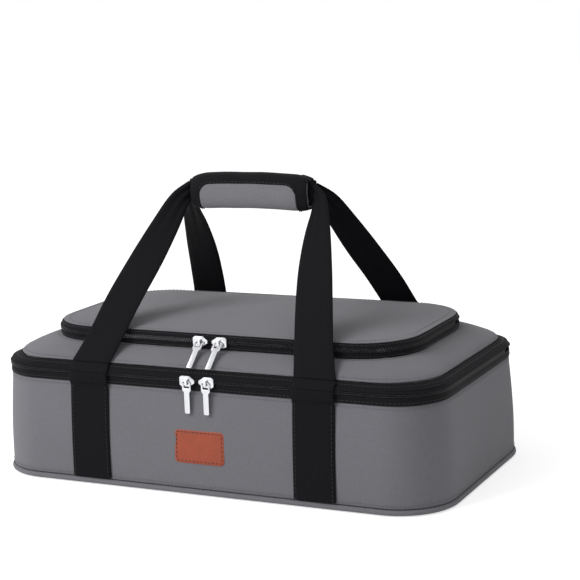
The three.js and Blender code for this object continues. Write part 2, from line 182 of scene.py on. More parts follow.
class Finish(Nodes):
    """One material, whose changing colour, roughness and relief are written as expressions."""

    def __init__(self, name, colour, roughness, **constants):
        self.material = bpy.data.materials.new(name)
        self.material.use_nodes = True
        self.material.diffuse_color = (*colour, 1)
        super().__init__(self.material.node_tree)
        self.shader = self.tree.nodes["Principled BSDF"]
        self.colour = tuple(colour)
        self.shader.inputs["Base Color"].default_value = (*colour, 1)
        self.shader.inputs["Roughness"].default_value = roughness
        for socket, value in constants.items():
            self.shader.inputs[socket.replace("_", " ")].default_value = value

    def mix(self, share, first, second):
        """A colour between two colours."""
        return self.node("ShaderNodeMix", {"data_type": "RGBA"}, {0: share, 6: first, 7: second}, output=2)

    def cloth(self):
        """The piece's cloth map, and the lengths across and along it, in metres."""
        place = self.node("ShaderNodeUVMap", {"uv_map": "cloth"}, {})
        across = self.node("ShaderNodeSeparateXYZ", {}, {0: place})
        return place, across, Value(self, across.socket.node.outputs[1])

    def solid(self):
        """The place in the object, in metres."""
        return self.node("ShaderNodeTexCoord", {}, {}, output=3)

    def cloud(self, place, scale):
        """Soft unevenness between 0 and 1."""
        return self.node("ShaderNodeTexNoise", {},
                         {"Vector": place, "Scale": scale, "Detail": 3.0, "Roughness": 0.55})

    def cells(self, place, scale, feature="F1"):
        """Distance to the nearest of scattered points, or to the edge of its cell."""
        return self.node("ShaderNodeTexVoronoi", {"feature": feature}, {"Vector": place, "Scale": scale})

    def stretched(self, place, x, y):
        """The place with its two lengths scaled."""
        return self.node("ShaderNodeVectorMath", {"operation": "MULTIPLY"}, {0: place, 1: (x, y, 1.0)})

    def relief(self, height, distance, strength):
        """Raises the surface by a height between 0 and 1, times a distance in metres."""
        normal = self.node("ShaderNodeBump", {},
                           {"Strength": strength, "Distance": distance, "Height": height})
        self.feed(self.shader.inputs["Normal"], normal)

    def paint(self, shade, depth, lift):
        """Darkens and lightens the base colour by a shade round 0.5."""
        dark = tuple(c * (1 - depth) for c in self.colour)
        light = tuple(min(1, c * (1 + lift)) for c in self.colour)
        self.feed(self.shader.inputs["Base Color"], self.mix(shade, dark, light))

    def gloss(self, value):
        self.feed(self.shader.inputs["Roughness"], value)


def oxford(name, colour, pitch):
    """Plain-woven polyester: over and under threads, uneven yarn and a soft sheen."""
    cloth = Finish(name, colour, 0.86, Sheen_Weight=0.25, Sheen_Roughness=0.5, Specular_IOR_Level=0.25)
    place, across, along = cloth.cloth()
    warp, weft = across / pitch, along / pitch
    square = cloth.math("FLOOR", warp) + cloth.math("FLOOR", weft) + 4000  # kept above zero
    over = cloth.math("MODULO", square, 2)
    warp_round = abs(cloth.math("SINE", warp * math.pi))
    weft_round = abs(cloth.math("SINE", weft * math.pi))
    height = over * warp_round + (1 - over) * weft_round
    yarn = (cloth.cloud(cloth.stretched(place, 1700, 90), 1.0) * over
            + cloth.cloud(cloth.stretched(place, 90, 1700), 1.0) * (1 - over))
    slub = cloth.cloud(cloth.stretched(place, 420, 420), 1.0)
    # Partly painted shade: height paints the thread tops lighter and the dips between threads darker; yarn,
    # slub and cloud are the cloth's own uneven tone.
    shade = yarn * 0.55 + height * 0.16 + slub * 0.22 + cloth.cloud(place, 14.0) * 0.12
    cloth.paint(shade, 0.42, 0.42)
    cloth.relief(height + slub * 0.5, 0.00016, 0.75)
    cloth.gloss(0.8 + yarn * 0.15)
    return cloth.material


def ribbed(name, colour, pitch):
    """Webbing or grosgrain: ribs across the length, with rows of yarn along it; the rib crests carry painted
    highlights and the grooves painted shade.
    """
    cloth = Finish(name, colour, 0.7, Sheen_Weight=0.01, Sheen_Roughness=0.4, Specular_IOR_Level=0.09)
    place, across, along = cloth.cloth()
    rows = across / (pitch * 1.6)
    row = cloth.math("FLOOR", rows)
    rib = abs(cloth.math("SINE", (along / pitch + row * 0.5) * math.pi))
    groove = abs(cloth.math("SINE", rows * math.pi))
    yarn = cloth.cloud(cloth.stretched(place, 900, 260), 1.0)
    # Painted highlight and shade: rib crests are painted lighter and the grooves between rows darker; the
    # yarn and cloud terms are the webbing's own uneven tone.
    shade = rib * 0.4 + groove * 0.2 + yarn * 0.3 + cloth.cloud(place, 22.0) * 0.1
    cloth.paint(shade, 0.6, 1.0)
    cloth.relief(rib * 0.7 + groove * 0.5, 0.00028, 0.8)
    cloth.gloss(0.62 + yarn * 0.2)
    return cloth.material


def crumpled_foil(name, colour):
    """Metallised film, creased where it was folded and pressed, with painted shade along its creases."""
    film = Finish(name, colour, 0.3, Metallic=0.88)
    place = film.solid()
    crease = film.cells(place, 55.0, "DISTANCE_TO_EDGE")
    fine = film.cells(place, 160.0, "DISTANCE_TO_EDGE")
    cloudy = film.cloud(place, 40.0)
    ridge = film.math("MINIMUM", crease * 6, 1.0) * 0.6 + film.math("MINIMUM", fine * 5, 1.0) * 0.25
    film.relief(ridge * 0.6 + cloudy, 0.0008, 0.7)
    # Painted shade: the film is painted darker along its creases, where ridge is low; the cloudy term is the
    # film's own uneven tone.
    film.paint(ridge * 0.5 + cloudy * 0.5, 0.1, 0.06)
    film.gloss(0.2 + cloudy * 0.22)
    return film.material


def foam(name, colour):
    """Closed-cell foam with a fine skin of cells."""
    block = Finish(name, colour, 0.93)
    place = block.solid()
    cell = block.cells(place, 900.0)
    block.relief(cell, 0.0003, 0.6)
    block.paint(cell * 0.6 + block.cloud(place, 60.0) * 0.4, 0.12, 0.05)
    return block.material


def pressed_board(name, colour):
    """Moulded stiffening board with a fine grain."""
    sheet = Finish(name, colour, 0.6)
    place = sheet.solid()
    grain = sheet.cloud(place, 700.0)
    sheet.relief(grain, 0.00012, 0.5)
    sheet.paint(grain * 0.6 + sheet.cloud(place, 30.0) * 0.4, 0.2, 0.2)
    sheet.gloss(0.5 + grain * 0.2)
    return sheet.material


def coil_plastic(name, colour):
    """Semi-gloss monofilament."""
    strand = Finish(name, colour, 0.38, Specular_IOR_Level=0.5)
    strand.paint(strand.cloud(strand.solid(), 500.0), 0.25, 0.5)
    return strand.material


def label_leather(name, colour):
    """Smooth leather with a pebbled grain, darker in its pores."""
    hide = Finish(name, colour, 0.52, Specular_IOR_Level=0.4)
    place = hide.solid()
    pebble = hide.cells(place, 1150.0)
    broad = hide.cloud(place, 130.0)
    hide.relief(pebble * 0.7 + broad * 0.8, 0.00018, 0.7)
    hide.paint(broad * 0.75 + pebble * 0.3, 0.3, 0.25)
    hide.gloss(0.42 + broad * 0.22)
    return hide.material


def spun_thread(name, colour):
    """Twisted sewing thread."""
    yarn = Finish(name, colour, 0.6, Sheen_Weight=0.2)
    twist = yarn.node("ShaderNodeTexWave", {"bands_direction": "DIAGONAL"},
                      {"Vector": yarn.solid(), "Scale": 900.0, "Distortion": 1.0})
    yarn.paint(twist, 0.3, 0.3)
    yarn.relief(twist, 0.00005, 0.5)
    return yarn.material


def plated_metal(name, colour):
    """Bright plating, faintly brushed and handled."""
    plate = Finish(name, colour, 0.2, Metallic=1.0)
    place = plate.solid()
    handled = plate.cloud(place, 240.0)
    brushed = plate.cloud(plate.stretched(place, 300, 300), 6.0)
    plate.gloss(0.14 + handled * 0.16)
    plate.paint(handled * 0.5 + brushed * 0.5, 0.18, 0.08)
    plate.relief(brushed, 0.00002, 0.3)
    return plate.material


FINISHES = {}


def finishes():
    """Makes each material once, from the colours and sizes of the scene."""
    if FINISHES:
        return FINISHES
    tints, sizes = bpy.context.scene.carrier_colours, bpy.context.scene.carrier_sizes
    FINISHES.update(
        grey=oxford("grey_oxford", tints.grey, sizes.weave),
        grip=oxford("grip_oxford", tints.grip, sizes.weave),
        webbing=ribbed("black_webbing", tints.black, sizes.rib),
        tape=ribbed("zip_tape", tints.tape, sizes.rib * 0.45),
        binding=ribbed("grosgrain_binding", tints.tape, sizes.rib * 0.7),
        coil=coil_plastic("coil_plastic", tints.coil),
        foil=crumpled_foil("crumpled_foil", tints.foil),
        foam=foam("closed_cell_foam", tints.foam),
        board=pressed_board("pressed_board", tints.board),
        leather=label_leather("label_leather", tints.leather),
        metal=plated_metal("plated_metal", tints.metal),
        grey_thread=spun_thread("grey_thread", tints.grey_thread),
        black_thread=spun_thread("black_thread", tints.black_thread),
        label_thread=spun_thread("label_thread", tints.label_thread),
    )
    return FINISHES


# --- Outlines and meshes -----------------------------------------------------------------------

LONG_STEPS, SHORT_STEPS, CORNER_STEPS = 36, 22, 12


def lerp(a, b, share):
    return a + (b - a) * share


def facing(degrees):
    """A level direction."""
    angle = math.radians(degrees)
    return Vector((math.cos(angle), math.sin(angle), 0))


class Outline:
    """A level rounded rectangle round the carrier's axis."""

    def __init__(self, half_x, half_y, radius):
        self.half_x, self.half_y, self.radius = half_x, half_y, max(radius, 0.0005)

    def grown(self, by):
        return Outline(self.half_x + by, self.half_y + by, self.radius + by)

    def scaled(self, share):
        return Outline(self.half_x * share, self.half_y * share, self.radius * share)

    def towards(self, other, share):
        return Outline(lerp(self.half_x, other.half_x, share), lerp(self.half_y, other.half_y, share),
                       lerp(self.radius, other.radius, share))

    def trace(self):
        """Places and outward directions, from the middle of the rear by the left, front and right."""
        x, y = self.half_x - self.radius, self.half_y - self.radius
        runs = (((0, y), (-x, y), 90, LONG_STEPS // 2), ((-x, y), (-x, -y), 180, SHORT_STEPS),
                ((-x, -y), (x, -y), 270, LONG_STEPS), ((x, -y), (x, y), 360, SHORT_STEPS),
                ((x, y), (0, y), 450, LONG_STEPS // 2))
        places = []
        for number, (start, end, angle, count) in enumerate(runs):
            out = facing(angle)
            start, end = Vector((*start, 0)), Vector((*end, 0))
            for i in range(count):
                places.append((start.lerp(end, i / count) + out * self.radius, out))
            for i in range(CORNER_STEPS if number < 4 else 0):
                turned = facing(angle + 90 * i / CORNER_STEPS)
                places.append((end + turned * self.radius, turned))
        return places

    def at(self, height):
        return [(Vector((place.x, place.y, height)), out) for place, out in self.trace()]


def outline_of(node, proud, radius):
    """The outline that a CAD node stands proud of, by its own box."""
    _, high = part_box(node)
    return Outline(high.x - proud, high.y - proud, radius)


def low_of(node):
    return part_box(node)[0].z


def top_of(node):
    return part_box(node)[1].z


def centre_of(node):
    low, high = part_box(node)
    return (low + high) / 2


TAPE_PROUD = 0.0008  # how far the zip tapes stand out from the cloth
RIM = outline_of("body_zip_tape", TAPE_PROUD, 0.044)
BASE = RIM.grown(0.004)  # the wall spreads this much down to its foot
RING = outline_of("upper_zip_tape", TAPE_PROUD, 0.050)
BAND = RIM.towards(RING, 0.2)  # where the shoulder begins, above the lower zip
WALL_FOOT, WALL_TOP = low_of("body_wall"), top_of("body_wall")
CLOTH, TAPE_CLOTH = 0.0016, 0.0012  # thickness of the outer fabric and of a zip tape
UNDER_CLOTH = 0.0019  # how far in the foams lie from the outer fabric's face
PANEL_INSET = 0.0032  # how far in the base panel ends, beside the piping
FOAM_THICK = 0.006
FOIL_INSET = 0.0082  # how far in the foil lies from the wall's face
TRAY_BINDING, LID_BINDING = 0.0085, 0.0125  # widths over the rim
TRAY_SEAM, LID_SEAM = 0.0072, 0.0105  # how far in from the edge their stitches run
CROWN_INSET = 0.0015  # how far the crown's edge lies inside the upper zip
FILM = 0.001  # thickness of a foil


def at_wall(height):
    """The outline of the wall at a height."""
    return BASE.towards(RIM, (height - WALL_FOOT) / (WALL_TOP - WALL_FOOT))


def face_y(height):
    return at_wall(height).half_y


def ripple(place, scale, size, seed=0.0):
    """A smooth uneven amount between -size and size."""
    return noise.noise(place * scale + Vector((seed, seed * 0.7, -seed))) * size


def soften(piece):
    """Subdivides a piece once and keeps the result as its mesh."""
    modifier = piece.modifiers.new("soft", "SUBSURF")
    modifier.levels = modifier.render_levels = 1
    modifier.use_limit_surface = False
    return settled(piece)


def settled(piece):
    """Applies a piece's modifiers."""
    bpy.context.view_layer.update()
    seen = piece.evaluated_get(bpy.context.evaluated_depsgraph_get())
    mesh = bpy.data.meshes.new_from_object(seen, preserve_all_data_layers=True,
                                           depsgraph=bpy.context.evaluated_depsgraph_get())
    piece.modifiers.clear()
    piece.data = mesh
    return piece


def linked(name, data):
    """A new object in the scene."""
    thing = bpy.data.objects.new(name, data)
    bpy.context.scene.collection.objects.link(thing)
    return thing


def made(name, mesh, finish):
    """A piece with its material, shaded smooth."""
    for polygon in mesh.polygons:
        polygon.use_smooth = True
    mesh.materials.append(finishes()[finish])
    piece = linked(name, mesh)
    return piece


def running(points):
    """Lengths along a row of points."""
    total, lengths = 0.0, [0.0]
    for before, after in zip(points, points[1:]):
        total += (after - before).length
        lengths.append(total)
    return lengths


def across_cap(wide):
    """Faces across a closed row of points, each point joined to the one opposite."""
    faces = []
    for i in range((wide - 1) // 2):
        left, right = wide - 2 - i, wide - 1 - i
        faces.append((i, right, left, i + 1) if left != i + 1 else (i, right, left))
    return faces


def skinned(name, rows, finish, closed=False):
    """A mesh through rings of points, capped at both ends, or closed from the last ring to the first."""
    wide, count = len(rows[0]), len(rows)
    widest = max(rows, key=lambda row: running(row)[-1])
    side = running(widest + [widest[0]])
    middle = [row[wide // 3] for row in rows]
    rise = running(middle + [middle[0]])
    faces, maps = [], []
    for v in range(count if closed else count - 1):
        for u in range(wide):
            here, there = v * wide, ((v + 1) % count) * wide
            faces.append((here + u, here + (u + 1) % wide, there + (u + 1) % wide, there + u))
            maps.append(((side[u], rise[v]), (side[u + 1], rise[v]), (side[u + 1], rise[v + 1]),
                         (side[u], rise[v + 1])))
    if not closed:
        for v in (0, count - 1):
            for face in across_cap(wide):
                faces.append(tuple(v * wide + i for i in face))
                maps.append(tuple((rows[v][i].x + rows[v][i].y, rows[v][i].z + rows[v][i].y) for i in face))
    mesh = bpy.data.meshes.new(name)
    mesh.from_pydata([p for row in rows for p in row], [], faces)
    layer = mesh.uv_layers.new(name="cloth")
    layer.data.foreach_set("uv", [c for corner in maps for pair in corner for c in pair])
    shell = bmesh.new()
    shell.from_mesh(mesh)
    bmesh.ops.recalc_face_normals(shell, faces=shell.faces)
    shell.to_mesh(mesh)
    shell.free()
    return soften(made(name, mesh, finish))


BAND_INNER_SHARES = (1.0, 0.9, 0.5, 0.1, 0.0)
DISC_SHARES = (0.04, 0.3, 0.55, 0.78, 0.92, 0.985, 1.0)
FOIL_SHARES = (0.04, 0.18, 0.32, 0.46, 0.6, 0.72, 0.84, 0.94, 1.0)
CROWN_POWER = 2.6  # how late the crown falls towards its edge
FILM_CREASE = 0.0006


def lofted(name, profile, finish, closed=True, detail=None):
    """A piece through level outlines, given as (outline, height)."""
    rows = []
    for number, (outline, height) in enumerate(profile):
        row = []
        for point, out in outline.at(height):
            row.append(point + detail(point, out, number) if detail else point)
        rows.append(row)
    return skinned(name, rows, finish, closed)


def flat_mapped(piece):
    """Lays the cloth's lengths out from above, for a piece that lies flat."""
    layer = piece.data.uv_layers["cloth"].data
    for loop in piece.data.loops:
        place = piece.data.vertices[loop.vertex_index].co
        layer[loop.index].uv = (place.x, place.y)
    return piece


def band_profile(low, high, bottom, top, thickness, rows, puff=0.0):
    """Outer skin upwards, then inner skin downwards."""
    shares = [0.0, 0.06] + [(i + 1) / (rows + 1) for i in range(rows)] + [0.94, 1.0]
    outer = [(low.towards(high, s).grown(puff * math.sin(math.pi * s)), lerp(bottom, top, s))
             for s in shares]
    inner = [(low.towards(high, s).grown(-thickness), lerp(bottom, top, s))
             for s in BAND_INNER_SHARES]
    return outer + inner


def crowned(outline, shares, height, rise=0.0):
    """Outlines between the middle and the edge, raised by rise in the middle."""
    return [(outline.scaled(s), height + rise * (1 - s ** CROWN_POWER)) for s in shares]


def disc_profile(outline, bottom, top, rise=0.0, low_rise=0.0, shares=DISC_SHARES):
    """Top skin from the middle to the edge, then the bottom skin back; the rises crown them."""
    return crowned(outline, shares, top, rise) + crowned(outline, shares[::-1], bottom, low_rise)


def flat_disc(name, node, outline, finish):
    """A flat piece over an outline, as thick as its CAD node."""
    return lofted(name, disc_profile(outline, low_of(node), top_of(node)), finish, closed=False)


def creased_film(name, profile, seed, face_up=False):
    """A foil whose bare side, the lower one or with face_up the upper one, is creased."""
    half = len(profile) // 2

    def crumple(point, out, number):
        push = abs(ripple(point, 26, FILM_CREASE, seed))
        if face_up:
            return Vector((0, 0, -push)) if number < half - 1 else Vector()
        return Vector((0, 0, push)) if number > half else Vector()
    return lofted(name, profile, "foil", closed=False, detail=crumple)


def join_meshes(name, parts, finish):
    """One mesh from many small (points, faces) parts."""
    points, faces = [], []
    for part_points, part_faces in parts:
        start = len(points)
        points += part_points
        faces += [tuple(start + i for i in face) for face in part_faces]
    mesh = bpy.data.meshes.new(name)
    mesh.from_pydata(points, [], faces)
    mesh.uv_layers.new(name="cloth")
    return made(name, mesh, finish)


BEAD_SHARES = ((-0.5, 0.0), (-0.36, 0.75), (0.0, 1.0), (0.36, 0.75), (0.5, 0.0))
BEAD_SIDES = 6


def bead(centre, along, up, half_length, radius, flatten=1.0):
    """A small rounded bar, such as a stitch or a tooth."""
    sideways = along.cross(up).normalized()
    points = []
    for share, wide in BEAD_SHARES:
        middle = centre + along * (share * 2 * half_length)
        if wide == 0.0:
            points.append(middle)
            continue
        for i in range(BEAD_SIDES):
            angle = 2 * math.pi * i / BEAD_SIDES
            points.append(middle + sideways * (math.cos(angle) * radius * wide)
                          + up * (math.sin(angle) * radius * wide * flatten))
    n = BEAD_SIDES
    faces = [(0, 1 + (i + 1) % n, 1 + i) for i in range(n)]
    for ring in range(2):
        first, second = 1 + ring * n, 1 + (ring + 1) * n
        faces += [(first + i, first + (i + 1) % n, second + (i + 1) % n, second + i) for i in range(n)]
    last = 1 + 2 * n
    faces += [(last + i, last + (i + 1) % n, last + n) for i in range(n)]
    return points, faces


def spaced(path, pitch):
    """Places at even distances along a path of (point, up): centre, direction and up."""
    lengths = running([point for point, _ in path])
    count = max(1, round(lengths[-1] / pitch))
    places, k = [], 0
    for i in range(count):
        wanted = (i + 0.5) * lengths[-1] / count
        while k < len(path) - 2 and lengths[k + 1] < wanted:
            k += 1
        share = (wanted - lengths[k]) / max(lengths[k + 1] - lengths[k], 1e-9)
        start, end = path[k], path[k + 1]
        places.append((start[0].lerp(end[0], share), (end[0] - start[0]).normalized(),
                       start[1].lerp(end[1], share).normalized()))
    return places


def sewn(name, paths, finish, body, thick=1.0):
    """Lines of stitches along paths, half sunk in the fabric."""
    sizes = bpy.context.scene.carrier_sizes
    parts = []
    for path in paths:
        for centre, along, up in spaced(path, sizes.stitch + sizes.stitch_gap):
            parts.append(bead(centre + up * (sizes.thread * 0.35), along, up, sizes.stitch / 2,
                              sizes.thread * thick))
    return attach(join_meshes(name, parts, finish), body)


def closed_path(points):
    return points + [points[0]]


def round_path(outline, height, up_share=0.0):
    """A path all round an outline; up_share tilts its stitches upwards."""
    lift = Vector((0, 0, up_share))
    return closed_path([(p, (out + lift).normalized()) for p, out in outline.at(height)])


def ribbon(name, inner, outer, normals, thickness, finish, columns=8, pleat=None):
    """A flat strap between two edges, with rounded selvages and optional pleats."""
    rows = []
    for number, (start, end, normal) in enumerate(zip(inner, outer, normals)):
        top, bottom = [], []
        for k in range(columns + 1):
            share = k / columns
            half = thickness * (0.22 if k in (0, columns) else 0.5)
            fold = normal * (pleat(number / (len(inner) - 1), share) if pleat else 0.0)
            place = start.lerp(end, share) + fold
            top.append(place + normal * half)
            bottom.append(place - normal * half)
        rows.append(top + bottom[::-1])
    return skinned(name, rows, finish)


def smooth_path(points, steps):
    """A smooth path through points, with steps between each two."""
    result = []
    for i in range(len(points) - 1):
        before, start = points[max(i - 1, 0)], points[i]
        end, after = points[i + 1], points[min(i + 2, len(points) - 1)]
        for step in range(steps):
            t = step / steps
            bend = 2 * before - 5 * start + 4 * end - after
            turn = 3 * start - before - 3 * end + after
            result.append(0.5 * ((2 * start) + (end - before) * t + bend * t * t + turn * t ** 3))
    return result + [points[-1]]


def normals_of(inner, outer, forward):
    """Directions square to a strap, on the side of forward."""
    found = []
    for i in range(len(inner)):
        a, b = max(i - 1, 0), min(i + 1, len(inner) - 1)
        along = (inner[b] + outer[b]) - (inner[a] + outer[a])
        normal = along.cross(outer[i] - inner[i]).normalized()
        found.append(normal if normal.dot(forward) >= 0 else -normal)
    return found


# --- Operators: one for each piece or group of like pieces ------------------------------------

class Step(bpy.types.Operator):
    """Common part of the carrier's operators."""
    bl_options = {"REGISTER"}

    def execute(self, context):
        self.make(context.scene.carrier_sizes)
        return {"FINISHED"}


class MakeBase(Step):
    """Fabric panel, stiffening board, foam and the bottom piping"""
    bl_idname = "carrier.make_base"
    bl_label = "Base"

    def make(self, sizes):
        inside = BASE.grown(-PANEL_INSET)
        panel = flat_disc("base_fabric", "base_panel", inside, "grey")
        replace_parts(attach(flat_mapped(panel), "body"), "base_panel")
        board = flat_disc("base_stiffener", "base_board", inside, "board")
        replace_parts(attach(board, "body"), "base_board")
        cushion = at_wall(top_of("base_foam")).grown(-UNDER_CLOTH)
        foot = flat_disc("base_cushion", "base_foam", cushion, "foam")
        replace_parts(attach(foot, "body"), "base_foam")
        low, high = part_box("bottom_piping")
        radius = (high.z - low.z) / 2
        middle = BASE.grown(-0.0005)
        profile = [(middle.grown(radius * math.cos(a)), low.z + radius + radius * math.sin(a))
                   for a in [2 * math.pi * i / 10 for i in range(10)]]
        cord = lofted("bottom_piping_cover", profile, "grey",
                      detail=lambda p, out, n: out * ripple(p, 90, 0.0002, 3))
        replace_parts(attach(cord, "body"), "bottom_piping")
        seam = round_path(middle.grown(radius * 0.35), low.z + radius * 1.95, 2.0)
        sewn("piping_stitches", [seam], "grey_thread", "body")


class MakeWall(Step):
    """Outer fabric of the wall, with its padding's slight swell, and its seams"""
    bl_idname = "carrier.make_wall"
    bl_label = "Wall fabric"

    def make(self, sizes):
        profile = band_profile(BASE, RIM, WALL_FOOT, WALL_TOP, CLOTH, rows=10, puff=sizes.wall_bulge)
        outer_rows = len(profile) - len(BAND_INNER_SHARES)

        def swell(point, out, number):
            if number >= outer_rows:
                return Vector()
            calm = math.sin(math.pi * min(1, number / (outer_rows - 1)))
            broad, fine = sizes.wall_ripple, sizes.wall_ripple * 0.35
            return out * ((ripple(point, 9, broad, 1) + ripple(point, 28, fine, 5)) * calm)
        wall = lofted("wall_fabric", profile, "grey", detail=swell)
        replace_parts(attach(wall, "body"), "body_wall")
        top, foot = WALL_TOP - 0.0028, WALL_FOOT + 0.0032
        sewn("wall_stitches", [round_path(at_wall(top).grown(0.0003), top),
                               round_path(at_wall(foot).grown(0.0004), foot)], "grey_thread", "body")


class MakeTray(Step):
    """Wall foam and the crumpled foil tray"""
    bl_idname = "carrier.make_tray"
    bl_label = "Tray"

    def make(self, sizes):
        bottom = low_of("body_foam")
        profile = band_profile(at_wall(bottom).grown(-UNDER_CLOTH), RIM.grown(-UNDER_CLOTH), bottom, WALL_TOP,
                               FOAM_THICK, rows=3)
        pad = lofted("wall_foam", profile, "foam")
        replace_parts(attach(pad, "body"), "body_foam")
        floor_low, floor_top = low_of("body_floor_lining"), top_of("body_floor_lining")
        low, high = at_wall(floor_low).grown(-FOIL_INSET), RIM.grown(-FOIL_INSET)
        floor = crowned(low.grown(-0.0012), (0.04, 0.16, 0.3, 0.44, 0.58, 0.7, 0.82, 0.92), floor_top)
        wall = [(low.towards(high, s).grown(-0.001 - 0.004 * max(0.0, 0.06 - s) / 0.06),
                 lerp(floor_top, WALL_TOP, s))
                for s in (0.03, 0.1, 0.2, 0.32, 0.44, 0.56, 0.68, 0.8, 0.9, 0.97, 1.0)]
        outer = [(low.towards(high, s), lerp(floor_low, WALL_TOP, s)) for s in (1.0, 0.6, 0.2, 0.0)]
        outer += crowned(low, (0.7, 0.3, 0.04), floor_low)
        broad, fine = sizes.foil_crumple, sizes.foil_crumple * 0.5

        def crumple(point, out, number):
            if number >= len(floor) + len(wall) - 1:
                return Vector()
            push = abs(ripple(point, 26, broad, 2)) + abs(ripple(point, 70, fine, 7))
            return Vector((0, 0, push)) if number < len(floor) else -out * push
        tray = lofted("foil_tray", floor + wall + outer, "foil", closed=False, detail=crumple)
        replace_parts(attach(tray, "body"), "body_lining", "body_floor_lining")


class MakeRims(Step):
    """Grosgrain bindings round the tray's and the lid's edge"""
    bl_idname = "carrier.make_rims"
    bl_label = "Rim bindings"

    def make(self, sizes):
        face = RIM.grown(-0.0007)
        low, high = low_of("body_rim_binding"), top_of("body_rim_binding")
        rim = lofted("tray_binding", band_profile(face, face, low, high, TRAY_BINDING, rows=2), "binding",
                     detail=lambda p, out, n: Vector((0, 0, ripple(p, 60, 0.0003, 4))))
        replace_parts(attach(rim, "body"), "body_rim_binding")
        tray_seam = round_path(face.grown(-TRAY_SEAM), high + 0.0001, 40.0)
        low, high = low_of("lid_rim_binding"), top_of("lid_rim_binding")
        outer = RIM.grown(0.0003)
        profile = band_profile(outer, outer.grown(-0.0009), low, high, LID_BINDING, rows=2)
        lid = lofted("lid_binding", profile, "binding",
                     detail=lambda p, out, n: Vector((0, 0, ripple(p, 60, 0.00025, 9))))
        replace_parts(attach(lid, "lid"), "lid_rim_binding")
        sewn("tray_binding_stitches", [tray_seam], "black_thread", "body")
        lid_seam = [(p, Vector((0, 0, -1))) for p, _ in RIM.grown(-LID_SEAM).at(low - 0.0001)]
        sewn("lid_binding_stitches", [closed_path(lid_seam)], "black_thread", "lid")


def zip_path(outline, height):
    """The zip's line: along the sides and the front, from one rear corner to the other."""
    corner = LONG_STEPS // 2 + CORNER_STEPS
    return outline.at(height)[corner:-corner]


COIL_REACH = 0.0006  # how far a row's teeth pass its edge, between those of the other row


def coil(name, node, body, outline, upwards, shift, pitch):
    """One row of coil teeth, an upright bead and a short bar each, that reach towards the other row."""
    low, high = low_of(node), top_of(node)
    middle = (low + high + (COIL_REACH if upwards else -COIL_REACH)) / 2
    half = (high - low + COIL_REACH) / 2 + 0.0002
    up, parts = Vector((0, 0, 1)), []
    for centre, along, out in spaced(zip_path(outline, middle), pitch):
        centre = centre + along * (shift * pitch)
        parts.append(bead(centre + out * 0.0003, up, out, half, pitch * 0.24, 2.2))
        parts.append(bead(centre + along * (pitch * 0.25) + out * 0.0006, along, out, pitch * 0.42, 0.00034))
    row = join_meshes(name, parts, "coil")
    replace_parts(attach(row, body), node)


class MakeZips(Step):
    """Zip tapes and coil teeth of both compartments"""
    bl_idname = "carrier.make_zips"
    bl_label = "Zips"

    def make(self, sizes):
        def woven(point, out, number):
            return out * ripple(point, 45, 0.00025, 6)
        tapes = (  # node, body, lower and upper outline, how far up its stitches run
            ("body_zip_tape", "body", RIM.grown(TAPE_PROUD), RIM.grown(TAPE_PROUD), 0.3),
            ("lid_zip_tape", "lid", RIM.grown(0.0018), BAND.grown(TAPE_PROUD), 0.7),
            ("upper_zip_tape", "lid", RING.grown(TAPE_PROUD), RING.grown(TAPE_PROUD), 0.3),
            ("top_lid_zip_tape", "top_lid", RING.grown(0.0012), RING.grown(-CROWN_INSET), 0.7))
        for node, body, low, high, _ in tapes:
            profile = band_profile(low, high, low_of(node), top_of(node), TAPE_CLOTH, rows=2)
            tape = lofted(f"{node}_woven", profile, "tape", detail=woven)
            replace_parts(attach(tape, body), node)
        for node, body, outline, upwards, shift in (
                ("body_zip_teeth", "body", RIM, True, 0.0),
                ("lid_zip_teeth", "lid", RIM, False, 0.5),
                ("upper_zip_teeth", "lid", RING, True, 0.0),
                ("top_lid_zip_teeth", "top_lid", RING, False, 0.5)):
            coil(f"{node}_coil", node, body, outline, upwards, shift, sizes.tooth_pitch)
        for node, body, low, high, seam in tapes:
            line = low.towards(high, seam).grown(0.0001)
            height = lerp(low_of(node), top_of(node), seam)
            sewn(f"{node}_stitches", [round_path(line, height)], "black_thread", body)


SHOULDER = (  # share of the way in, and share of the rise
    (0.0, 0.0), (0.02, 0.1), (0.13, 0.29), (0.27, 0.46), (0.42, 0.6), (0.6, 0.76), (0.8, 0.9), (0.94, 0.975),
    (1.0, 1.0))


class MakeMainLid(Step):
    """Shoulder, divider foam and foils of the main lid"""
    bl_idname = "carrier.make_main_lid"
    bl_label = "Main lid"

    def make(self, sizes):
        low, high = low_of("lid_shoulder"), top_of("lid_shoulder")
        outer = [(BAND.towards(RING, s), lerp(low, high, rise)) for s, rise in SHOULDER]
        inner = [(BAND.towards(RING, s).grown(-0.0008 - 0.0027 * (1 - s)), lerp(low, high - 0.0018, rise))
                 for s, rise in reversed(SHOULDER[::2])]
        skin = len(outer)

        def swell(point, out, number):
            if not 0 < number < skin - 1:
                return Vector()
            lean = (out + Vector((0, 0, 1))) * 0.7
            return lean * (ripple(point, 14, 0.0008, 11) + ripple(point, 40, 0.0003, 12))
        shoulder = lofted("shoulder_fabric", outer + inner, "grey", detail=swell)
        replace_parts(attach(shoulder, "lid"), "lid_shoulder")
        lower, upper = BAND.towards(RING, 0.08), BAND.towards(RING, 0.9)
        sewn("shoulder_stitches", [round_path(lower.grown(0.0002), lerp(low, high, 0.2), 0.6),
                                   round_path(upper.grown(0.0002), lerp(low, high, 0.96) + 0.0002, 2.0)],
             "grey_thread", "lid")
        edge = RIM.grown(-LID_BINDING)
        core = flat_disc("divider_core", "divider_foam", edge, "foam")
        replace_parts(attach(core, "lid"), "divider_foam")
        for name, node, face_up in (("lid_foil", "lid_lining", False),
                                    ("divider_foil", "divider_lining", True)):
            profile = disc_profile(edge, low_of(node), top_of(node), shares=FOIL_SHARES)
            film = creased_film(name, profile, 21, face_up)
            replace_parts(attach(film, "lid"), node)


